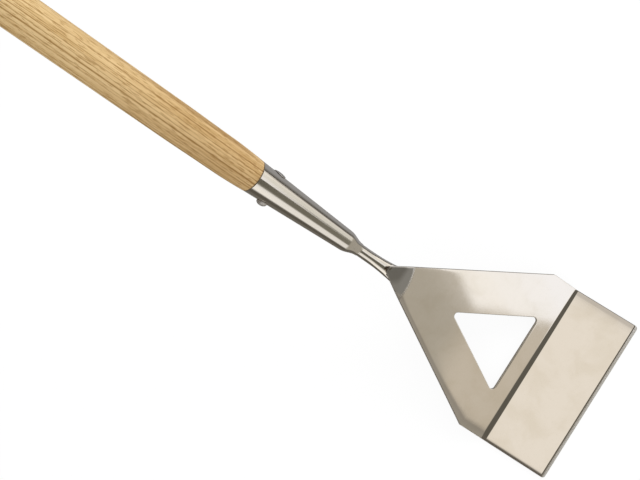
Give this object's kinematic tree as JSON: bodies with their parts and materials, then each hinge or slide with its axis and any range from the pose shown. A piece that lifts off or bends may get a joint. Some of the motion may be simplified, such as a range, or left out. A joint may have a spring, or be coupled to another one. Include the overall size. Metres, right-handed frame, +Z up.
{
  "type": "dutch hoe",
  "caption": "Dutch hoe: flat stainless push blade and open triangular plate bent from one sheet, rod neck, riveted conical socket and long ash shaft.",
  "frame": {"origin": "centre of the blade's flat underside", "axes": "working pose: +X across the blade, +Y forwards out of the cutting edge, +Z up; the shaft rises towards -Y at 40.5 degrees to the blade"},
  "size_m": [0.15, 1.2879, 1.0009],
  "materials": {
    "head_steel": "polished stainless sheet, softly mirrored",
    "neck_steel": "polished stainless rod",
    "socket_steel": "mirror polished stainless",
    "rivet_steel": "polished stainless, hammered on one side",
    "ash_wood": "straight grained ash, clear satin lacquer"
  },
  "bodies": {
    "root": {"hoe_head": "head_steel", "neck": "neck_steel", "socket": "socket_steel", "rivet": "rivet_steel", "ash_shaft": "ash_wood"}
  },
  "joints": []
}
